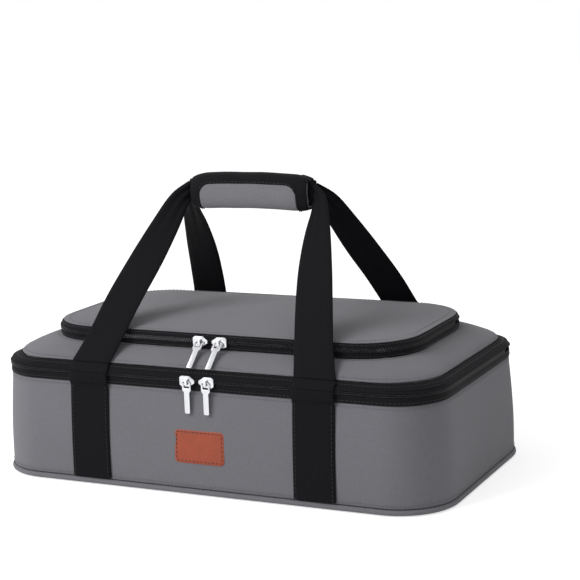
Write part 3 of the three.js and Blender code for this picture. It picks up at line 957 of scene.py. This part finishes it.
class MakeCrown(Step):
    """Crowned top panel with its foam, its foil and its seam"""
    bl_idname = "carrier.make_crown"
    bl_label = "Top lid"

    def make(self, sizes):
        edge = RING.grown(-CROWN_INSET)
        low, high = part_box("top_lid_panel")
        rise = high.z - low.z
        outer = crowned(edge, (0.04, 0.2, 0.36, 0.52, 0.66, 0.78, 0.87, 0.93, 0.97, 0.99, 1.0), low.z, rise)
        inner = crowned(edge, (0.995, 0.9, 0.6, 0.3, 0.04), low.z, rise - CLOTH)

        def swell(point, out, number):
            if number >= len(outer) - 1:
                return Vector()
            return Vector((0, 0, ripple(point, 12, 0.0009, 31) + ripple(point, 34, 0.0003, 32)))
        panel = lofted("crown_fabric", outer + inner, "grey", closed=False, detail=swell)
        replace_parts(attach(flat_mapped(panel), "top_lid"), "top_lid_panel")
        line, height = crowned(edge, (0.965,), low.z, rise)[0]
        sewn("crown_stitches", [round_path(line, height + 0.0002, 3.0)], "grey_thread", "top_lid")
        under = edge.grown(-UNDER_CLOTH)
        foam_low, foam_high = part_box("top_lid_foam")
        foam_rise = foam_high.z - low.z
        profile = disc_profile(under, foam_low.z, low.z, foam_rise, foam_rise - 0.0007)
        pad = lofted("crown_foam", profile, "foam", closed=False)
        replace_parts(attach(pad, "top_lid"), "top_lid_foam")
        foil_low, foil_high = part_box("top_lid_lining")
        lift = foil_high.z - foil_low.z - FILM
        profile = disc_profile(under, foil_low.z, foil_low.z + FILM, lift, lift, FOIL_SHARES)
        film = creased_film("crown_foil", profile, 41)
        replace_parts(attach(film, "top_lid"), "top_lid_lining")


HINGE_STEPS = 12
HINGE_BOW = 0.0006  # how far a strip bows outwards at its middle


class MakeHinges(Step):
    """Fabric hinges of both lids, as strips between their hinge tapes"""
    bl_idname = "carrier.make_hinges"
    bl_label = "Fabric hinges"

    def make(self, sizes):
        for name, low_node, high_node, below, above in (
                ("main_gusset", "main_hinge_tape", "lid_hinge_tape", "body", "lid"),
                ("top_gusset", "upper_hinge_tape", "top_lid_hinge_tape", "lid", "top_lid")):
            low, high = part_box(low_node)[0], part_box(high_node)[1]
            y = centre_of(low_node).y
            shares = [i / HINGE_STEPS for i in range(HINGE_STEPS + 1)]
            places = [(y + HINGE_BOW * math.sin(math.pi * s), lerp(low.z, high.z, s)) for s in shares]
            left, right = ([Vector((x, *place)) for place in places] for x in (low.x, high.x))
            strip = ribbon(name, left, right, [Vector((0, 1, 0))] * len(places), 0.001, "binding", columns=24,
                           pleat=lambda t, s: 0.00025 * math.sin(s * 61))
            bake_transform(strip)
            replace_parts(strip, low_node, high_node)


SEWN_LIFT, SEWN_SWELL, SEWN_LENGTH = 0.0013, 0.0008, 0.083  # off the wall, more at its middle, and its length
SEWN_HEIGHTS = (0.0067, 0.014, 0.024, 0.036, 0.048, 0.060, 0.072, 0.080, 0.086)
FOLD_POINTS = (  # how far inside the strap's outermost line, and height
    (0.0012, 0.0895), (0.0001, 0.0925), (0.0, 0.0955), (0.0002, 0.0985), (0.0016, 0.1012), (0.0038, 0.1040))
PART_HEIGHTS = (0.0899, 0.0990, 0.1066)  # where the fold, the bend and the free run begin
RUN_START = (0.0062, 0.1068)  # the free run's first point, as in FOLD_POINTS
GATHERED_HALF = 0.009  # half the height of the webbing where it enters the grip
STATIONS = (  # back, inner edge inwards and up, outer edge inwards and up
    (0.0, 0.0, 0.0, 0.0, 0.0), (0.14, 0.22, 0.16, 0.13, 0.15), (0.33, 0.51, 0.38, 0.265, 0.36),
    (0.55, 0.8, 0.6, 0.425, 0.57), (0.76, 0.96, 0.8, 0.6, 0.77), (0.92, 0.99, 0.94, 0.77, 0.925),
    (1.0, 1.0, 1.0, 1.0, 1.0))


class MakeStraps(Step):
    """Webbing handles: sewn to the wall, free above the rim, gathered into the grip"""
    bl_idname = "carrier.make_straps"
    bl_label = "Straps"

    def make(self, sizes):
        for side, depth in (("front", -1), ("rear", 1)):
            for hand, reach in (("left", -1), ("right", 1)):
                self.strap(sizes, side, hand, depth, reach)

    def strap(self, sizes, side, hand, depth, reach):
        name = f"{side}_strap_{hand}"
        fold_low, fold_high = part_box(f"{name}_fold")
        run_low, run_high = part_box(name)
        middle, half = (fold_low.x + fold_high.x) / 2, (fold_high.x - fold_low.x) / 2
        standoff = abs(fold_low.y + fold_high.y) / 2
        end_x = min(abs(run_low.x), abs(run_high.x))
        end_y = abs(centre_of(f"{side}_grip_webbing").y)
        end_z, end_half = centre_of(f"{side}_grip_webbing").z, GATHERED_HALF
        start_y, start_z = standoff - RUN_START[0], RUN_START[1]
        edges = []
        for key, edge in ((1, -1), (3, 1)):
            x = middle + reach * edge * half
            points = []
            for z in SEWN_HEIGHTS:
                swell = SEWN_SWELL * math.sin(math.pi * (z - SEWN_HEIGHTS[0]) / SEWN_LENGTH)
                points.append(Vector((x, depth * (face_y(z) + SEWN_LIFT + swell), z)))
            points += [Vector((x, depth * (standoff - inside), z)) for inside, z in FOLD_POINTS]
            for station in STATIONS:
                back, inwards, up = station[0], station[key], station[key + 1]
                points.append(Vector((lerp(x, reach * end_x, inwards), depth * lerp(start_y, end_y, back),
                                      lerp(start_z, end_z + edge * end_half, up))))
            edges.append(smooth_path(points, 6))
        inner, outer = edges
        normals = normals_of(inner, outer, Vector((0, depth, 0)))
        height = [(a.z + b.z) / 2 for a, b in zip(inner, outer)]
        cuts = [0] + [next(i for i, z in enumerate(height) if z >= limit) for limit in PART_HEIGHTS]
        cuts.append(len(inner) - 1)
        for suffix, first, last in zip(("sewn", "fold", "bend", "run"), cuts, cuts[1:]):
            part = slice(first, last + 1)
            pleat = self.gathers if suffix == "run" else None
            piece = ribbon(f"{name}_{suffix}_webbing", inner[part], outer[part], normals[part], sizes.webbing,
                           "webbing", pleat=pleat)
            self.hang(piece, suffix, name, side, depth, standoff)
        sewn_part = slice(1, cuts[1] - 2)
        tops = list(zip(inner[sewn_part], outer[sewn_part], normals[sewn_part]))
        lines = [[(a.lerp(b, share) + n * (sizes.webbing / 2), n) for a, b, n in tops]
                 for share in (0.07, 0.93)]
        sewn(f"{name}_stitches", lines, "black_thread", "body")

    @staticmethod
    def gathers(t, s):
        """Pleats that deepen towards the grip."""
        return 0.0016 * max(0.0, t - 0.55) / 0.45 * math.sin(s * 17)

    @staticmethod
    def hang(piece, suffix, name, side, depth, standoff):
        """Ties the sewn length of strap to the body and bakes the other lengths in place; the CAD nodes they
        replace are hidden.
        """
        if suffix == "sewn":
            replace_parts(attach(piece, "body"), f"{name}_sewn")
        elif suffix == "fold":
            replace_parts(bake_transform(piece), f"{name}_fold")
        elif suffix == "bend":
            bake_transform(piece)
        else:
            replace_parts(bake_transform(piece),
                        f"{name}_bend", name)


GRIP_LOW, GRIP_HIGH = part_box("grip_wrap")
GRIP_HALF = (GRIP_HIGH.z - GRIP_LOW.z) / 2
GRIP_TURNS = 14
GRIP_DEEP, GRIP_TALL = 0.62, 0.75  # powers that make the sleeve's section boxy, in depth and in height
GRIP_GAP, GRIP_POCKET = 0.0004, 0.0044  # each half's distance from the middle, and the webbing's room
GRIP_FULL, GRIP_TAPER = 1.012, 0.16  # fullness at its middle, and how much less at its ends
GRIP_BOW = 0.0018
GRIP_END = 0.016  # length over which each end narrows
WINDOW_TOP = 21.0  # angle of the upper edge of the grey window
WINDOW_ROUND = 0.0095  # radius of its corners
TRIM = 0.0014  # thickness of its bindings
TRIM_PROUD, TRIM_TOP_PROUD = 0.0007, 0.0009  # how far the end bindings and the top one stand out


def grip_section(depth, grow=0.0, arc=(90.0, -90.0), inner=0.0):
    """A half sleeve seen from its end: the outer skin over an arc, then the inner skin back."""
    skin = []
    for i in range(GRIP_TURNS + 1):
        angle = math.radians(lerp(arc[0], arc[1], i / GRIP_TURNS))
        c, s = math.cos(angle), math.sin(angle)
        y = (GRIP_HIGH.y + grow) * max(c, 0.0) ** GRIP_DEEP
        z = (GRIP_HALF + grow) * math.copysign(abs(s) ** GRIP_TALL, s)
        skin.append((depth * max(y, GRIP_GAP), z))
    if inner:
        back = [(depth * max(GRIP_GAP, abs(y) - inner), z * (1 - inner / GRIP_HALF))
                for y, z in reversed(skin)]
    else:
        edge, corner = GRIP_HALF - 0.003, GRIP_HALF - 0.0032
        back = [(depth * y, z) for y, z in (
            (GRIP_GAP, -edge), (GRIP_POCKET, -corner), (GRIP_POCKET, -0.005),
            (GRIP_POCKET, 0.005), (GRIP_POCKET, corner), (GRIP_GAP, edge))]
    return skin + back


def on_grip(x, y, z):
    """Puts a point of the grip's section in its place: the grip bows upwards and narrows at its ends."""
    from_end = max(0.0, min(x - GRIP_LOW.x, GRIP_HIGH.x - x))
    full = GRIP_FULL - GRIP_TAPER * (1 - min(1.0, from_end / GRIP_END)) ** 2
    bow = GRIP_BOW * (math.cos(math.pi * x / (GRIP_HIGH.x - GRIP_LOW.x)) - 0.4)
    return Vector((x, y * full, (GRIP_LOW.z + GRIP_HIGH.z) / 2 + z * full + bow))


def sleeve(name, section, start, end, finish, steps):
    """A half sleeve or a binding along the grip; section is a row of points, or gives one for a place."""
    rows = []
    for i in range(steps + 1):
        x = lerp(start, end, i / steps)
        tuck = 0.97 if i in (0, steps) else 1.0
        row = []
        for y, z in section(x) if callable(section) else section:
            point = on_grip(x, y * tuck, z * tuck)
            row.append(point + Vector((0, ripple(point, 70, 0.0003, 51), ripple(point, 55, 0.0003, 52))))
        rows.append(row)
    return skinned(name, rows, finish)


def window_top(x, width):
    """The angle of the top binding's lower edge, which rounds the corners of the grey window."""
    inside = min(x - GRIP_LOW.x, GRIP_HIGH.x - x) - width + 0.001
    gone = min(WINDOW_ROUND, max(0.0, WINDOW_ROUND - inside))
    drop = WINDOW_ROUND - math.sqrt(WINDOW_ROUND ** 2 - gone ** 2)
    z = math.sin(math.radians(WINDOW_TOP)) ** GRIP_TALL - drop / GRIP_HALF
    return math.degrees(math.asin(math.copysign(abs(z) ** (1 / GRIP_TALL), z)))


class MakeGrip(Step):
    """Padded sleeve with its black binding, and the gathered webbing inside it"""
    bl_idname = "carrier.make_grip"
    bl_label = "Grip"

    def make(self, sizes):
        low, high, width = GRIP_LOW, GRIP_HIGH, sizes.grip_binding
        for node, depth, body in (("grip_flap", -1, "grip_flap"), ("grip_wrap", 1, "rear_handle")):
            section = grip_section(depth)
            pad = sleeve(f"{node}_padding", section, low.x + 0.0004, high.x - 0.0004, "grip", 28)
            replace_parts(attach(pad, body), node)
            section = grip_section(depth, TRIM_PROUD, inner=TRIM)
            for hand, start in (("left", low.x - 0.0006), ("right", high.x + 0.0006 - width)):
                trim = sleeve(f"{node}_{hand}_binding", section, start, start + width, "binding", 10)
                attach(trim, body)
        trim = sleeve("grip_flap_top_binding",
                      lambda x: grip_section(-1, TRIM_TOP_PROUD, (90.0, window_top(x, width)), TRIM),
                      low.x + 0.0008, high.x - 0.0008, "binding", 64)
        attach(trim, "grip_flap")
        self.seams(low, high, width)
        for side in ("front", "rear"):
            self.gathered(side)

    @staticmethod
    def seams(low, high, width):
        """Stitches along the inner edge of the flap's binding."""
        skin = grip_section(-1, TRIM_TOP_PROUD)[:GRIP_TURNS + 1]
        lines = []
        for x in (low.x + width - 0.0018, high.x - width + 0.0018):
            lines.append([(on_grip(x, y, z), Vector((0, y, z)).normalized()) for y, z in skin[8:]])
        steps, line = 48, []
        for i in range(steps + 1):
            x = lerp(low.x + width, high.x - width, i / steps)
            y, z = grip_section(-1, 0.0011, (window_top(x, width) + 4.0, 0.0))[0]
            line.append((on_grip(x, y, z), Vector((0, -1, 0.3)).normalized()))
        lines.append(line)
        sewn("grip_stitches", lines, "black_thread", "grip_flap")

    @staticmethod
    def gathered(side):
        """The two straps' webbing inside the sleeve."""
        low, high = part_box(f"{side}_grip_webbing")
        y = (low.y + high.y) / 2
        xs = [lerp(low.x, high.x, i / 20) for i in range(21)]
        bottom, top = ([Vector((x, y, z)) for x in xs] for z in (low.z, high.z))
        piece = ribbon(f"{side}_gathered_webbing", bottom, top, [Vector((0, 1, 0))] * len(xs), 0.0016,
                       "webbing", pleat=lambda t, s: 0.0004 * math.sin(s * 20))
        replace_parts(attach(piece, f"{side}_handle"), f"{side}_grip_webbing")


LABEL_HALF_HEIGHT, LABEL_CORNER = 0.0145, 0.004
LABEL_SEAM = 0.0021  # how far in its stitches run


class MakeLabel(Step):
    """Bare leather label with its line of stitches"""
    bl_idname = "carrier.make_label"
    bl_label = "Leather label"

    def make(self, sizes):
        low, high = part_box("leather_label")
        centre = (low + high) / 2
        lean = math.atan2(BASE.half_y - RIM.half_y, WALL_TOP - WALL_FOOT)
        plane = (Matrix.Translation((0, -face_y(centre.z) - 0.0004, centre.z))
                 @ Matrix.Rotation(math.pi / 2 - lean, 4, "X"))
        outline = Outline((high.x - low.x) / 2, LABEL_HALF_HEIGHT, LABEL_CORNER)
        levels = [(outline.scaled(0.04), 0.0), (outline.grown(-0.0002), 0.0), (outline, 0.0003),
                  (outline, 0.0009), (outline.grown(-0.0005), 0.00128)]
        levels += [(outline.scaled(s), 0.00134 + 0.0002 * (1 - s))
                   for s in (0.92, 0.86, 0.7, 0.45, 0.2, 0.04)]
        rows = []
        for shape, height in levels:
            rows.append([plane @ (p + Vector((0, 0, height + ripple(p, 120, 0.00008, 61))))
                         for p, _ in shape.trace()])
        patch = skinned("leather_patch", rows, "leather")
        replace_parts(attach(patch, "body"), "leather_label")
        up = (plane.to_3x3() @ Vector((0, 0, 1))).normalized()
        line = [(plane @ Vector((p.x, p.y, 0.0014)), up) for p, _ in outline.grown(-LABEL_SEAM).trace()]
        sewn("label_stitches", [closed_path(line)], "label_thread", "body", 1.7)


METAL_EDGE = 0.00028  # width of the rounding of cast edges


class MakeMetal(Step):
    """Zip sliders and pulls with rounded cast edges"""
    bl_idname = "carrier.make_metal"
    bl_label = "Sliders and pulls"

    def make(self, sizes):
        for level in ("lower", "upper"):
            for hand in ("left", "right"):
                for kind in ("slider", "pull"):
                    self.cast(f"{level}_{hand}_{kind}")

    @staticmethod
    def cast(node):
        """The node's form with softened edges."""
        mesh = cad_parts[node].data.copy()
        mesh.materials.clear()
        while mesh.uv_layers:
            mesh.uv_layers.remove(mesh.uv_layers[0])
        shell = bmesh.new()
        shell.from_mesh(mesh)
        bmesh.ops.remove_doubles(shell, verts=shell.verts, dist=0.00001)
        bmesh.ops.dissolve_limit(shell, angle_limit=math.radians(2), verts=shell.verts, edges=shell.edges)
        shell.to_mesh(mesh)
        shell.free()
        mesh.uv_layers.new(name="cloth")
        piece = made(f"{node}_cast", mesh, "metal")
        bevel = piece.modifiers.new("edges", "BEVEL")
        bevel.width, bevel.segments = METAL_EDGE, 3
        bevel.limit_method, bevel.angle_limit = "ANGLE", math.radians(30)
        bevel.harden_normals = True
        settled(piece)
        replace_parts(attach(piece, node), node)


PHOTO_WIDTH, SENSOR_WIDTH = 580, 36.0
FOCAL_PIXELS = 1683.4
VIEW_TURNS = (25.84, 10.62, -2.12)  # about the upright, downwards and about the line of sight, in degrees
VIEW_PLACE = (-1.52119, 0.02959, 0.15081)  # ahead, to the right and up from the carrier's foot, in metres
WORLD_LIGHT = 0.47  # strength of the surroundings as light
FLOOR_GREY, FLOOR_GLOW = 0.84, 0.64
LAMPS = (  # name, place, width, power, where it points
    ("key", (-1.0, -1.4, 1.3), 1.2, 24.5, (0, 0, 0.08)),
    ("fill", (1.9, -0.4, 1.0), 1.6, 0.3, (0, 0, 0.1)),
    ("top", (0.1, 0.4, 2.4), 1.6, 0.8, (0, 0, 0.1)))


class MakeStage(Step):
    """Pale floor, white surroundings, soft lamps and the camera"""
    bl_idname = "carrier.make_stage"
    bl_label = "Stage"

    def make(self, sizes):
        self.camera()
        self.surroundings()
        self.floor()
        for name, place, width, power, target in LAMPS:
            light = bpy.data.lights.new(name, "AREA")
            light.size, light.energy = width, power
            lamp = linked(name, light)
            lamp.location = place
            lamp.rotation_euler = (Vector(target) - lamp.location).to_track_quat("-Z", "Y").to_euler()

    @staticmethod
    def camera():
        """The photograph's view, from its fitted focal length, turns and distance."""
        yaw, pitch, roll = (math.radians(a) for a in VIEW_TURNS)
        ahead = Vector((-math.sin(yaw) * math.cos(pitch), math.cos(yaw) * math.cos(pitch),
                        -math.sin(pitch)))
        right = Vector((math.cos(yaw), math.sin(yaw), 0))
        up = right.cross(ahead)
        eye = ahead * VIEW_PLACE[0] + right * VIEW_PLACE[1] + up * VIEW_PLACE[2]
        turned_right = right * math.cos(roll) + up * math.sin(roll)
        turned_up = up * math.cos(roll) - right * math.sin(roll)
        turned = Matrix((turned_right, turned_up, -ahead)).transposed().to_4x4()
        lens = bpy.data.cameras.new("photograph_view")
        lens.sensor_fit, lens.sensor_width = "HORIZONTAL", SENSOR_WIDTH
        lens.lens = FOCAL_PIXELS / PHOTO_WIDTH * SENSOR_WIDTH
        lens.clip_start, lens.clip_end = 0.05, 50.0
        camera = linked("photograph_view", lens)
        camera.matrix_world = Matrix.Translation(eye) @ turned
        bpy.context.scene.camera = camera

    @staticmethod
    def surroundings():
        """White to the eye and in the metal, softer as light."""
        world = bpy.data.worlds.new("studio")
        bpy.context.scene.world = world
        world.use_nodes = True
        sky = Nodes(world.node_tree)
        shown = sky.seen_by("Is Camera Ray", "Is Glossy Ray", "Is Transmission Ray")
        strength = sky.node("ShaderNodeMapRange", {}, {"Value": shown, "To Min": WORLD_LIGHT, "To Max": 1.0})
        background = sky.tree.nodes["Background"]
        sky.feed(background.inputs["Color"], (1, 1, 1))
        sky.feed(background.inputs["Strength"], strength)

    @staticmethod
    def floor():
        """A wide pale floor that keeps a faint shadow and glows white to the eye and in the metal."""
        mesh = bpy.data.meshes.new("floor")
        mesh.from_pydata([(-6, -6, 0), (6, -6, 0), (6, 6, 0), (-6, 6, 0)], [], [(0, 1, 2, 3)])
        floor = linked("floor", mesh)
        floor.location.z = -0.0002
        paint = Finish("pale_floor", (FLOOR_GREY,) * 3, 0.9, Specular_IOR_Level=0.0)
        plain_floor = Value(paint, paint.shader.outputs[0])
        glow = paint.node("ShaderNodeEmission", {}, {"Strength": FLOOR_GLOW})
        bright_floor = paint.node("ShaderNodeAddShader", {}, {0: plain_floor, 1: glow})
        shown = paint.seen_by("Is Camera Ray", "Is Glossy Ray")
        surface = paint.node("ShaderNodeMixShader", {}, {0: shown, 1: plain_floor, 2: bright_floor})
        paint.feed(paint.tree.nodes["Material Output"].inputs["Surface"], surface)
        mesh.materials.append(paint.material)


STEPS = (MakeStage, MakeBase, MakeWall, MakeTray, MakeRims, MakeZips, MakeMainLid, MakeCrown, MakeHinges,
         MakeStraps, MakeGrip, MakeLabel, MakeMetal)


class CarrierPanel(bpy.types.Panel):
    """Lists the carrier's sizes, colours and pieces"""
    bl_idname = "VIEW3D_PT_carrier"
    bl_label = "Casserole carrier"
    bl_space_type = "VIEW_3D"
    bl_region_type = "UI"
    bl_category = "Carrier"

    def draw(self, context):
        for group in (context.scene.carrier_sizes, context.scene.carrier_colours):
            column = self.layout.column()
            for key in group.__annotations__:
                column.prop(group, key)
        for step in STEPS:
            self.layout.operator(step.bl_idname)


CLASSES = (CarrierSizes, CarrierColours, *STEPS, CarrierPanel)


def register():
    for item in CLASSES:
        bpy.utils.register_class(item)
    bpy.types.Scene.carrier_sizes = PointerProperty(type=CarrierSizes)
    bpy.types.Scene.carrier_colours = PointerProperty(type=CarrierColours)


def unregister():
    del bpy.types.Scene.carrier_colours
    del bpy.types.Scene.carrier_sizes
    for item in reversed(CLASSES):
        bpy.utils.unregister_class(item)


def main():
    """Builds the whole carrier."""
    register()
    bpy.context.scene.view_settings.view_transform = "Standard"
    for step in STEPS:
        group, call = step.bl_idname.split(".")
        getattr(getattr(bpy.ops, group), call)()


if __name__ == "__main__":
    main()
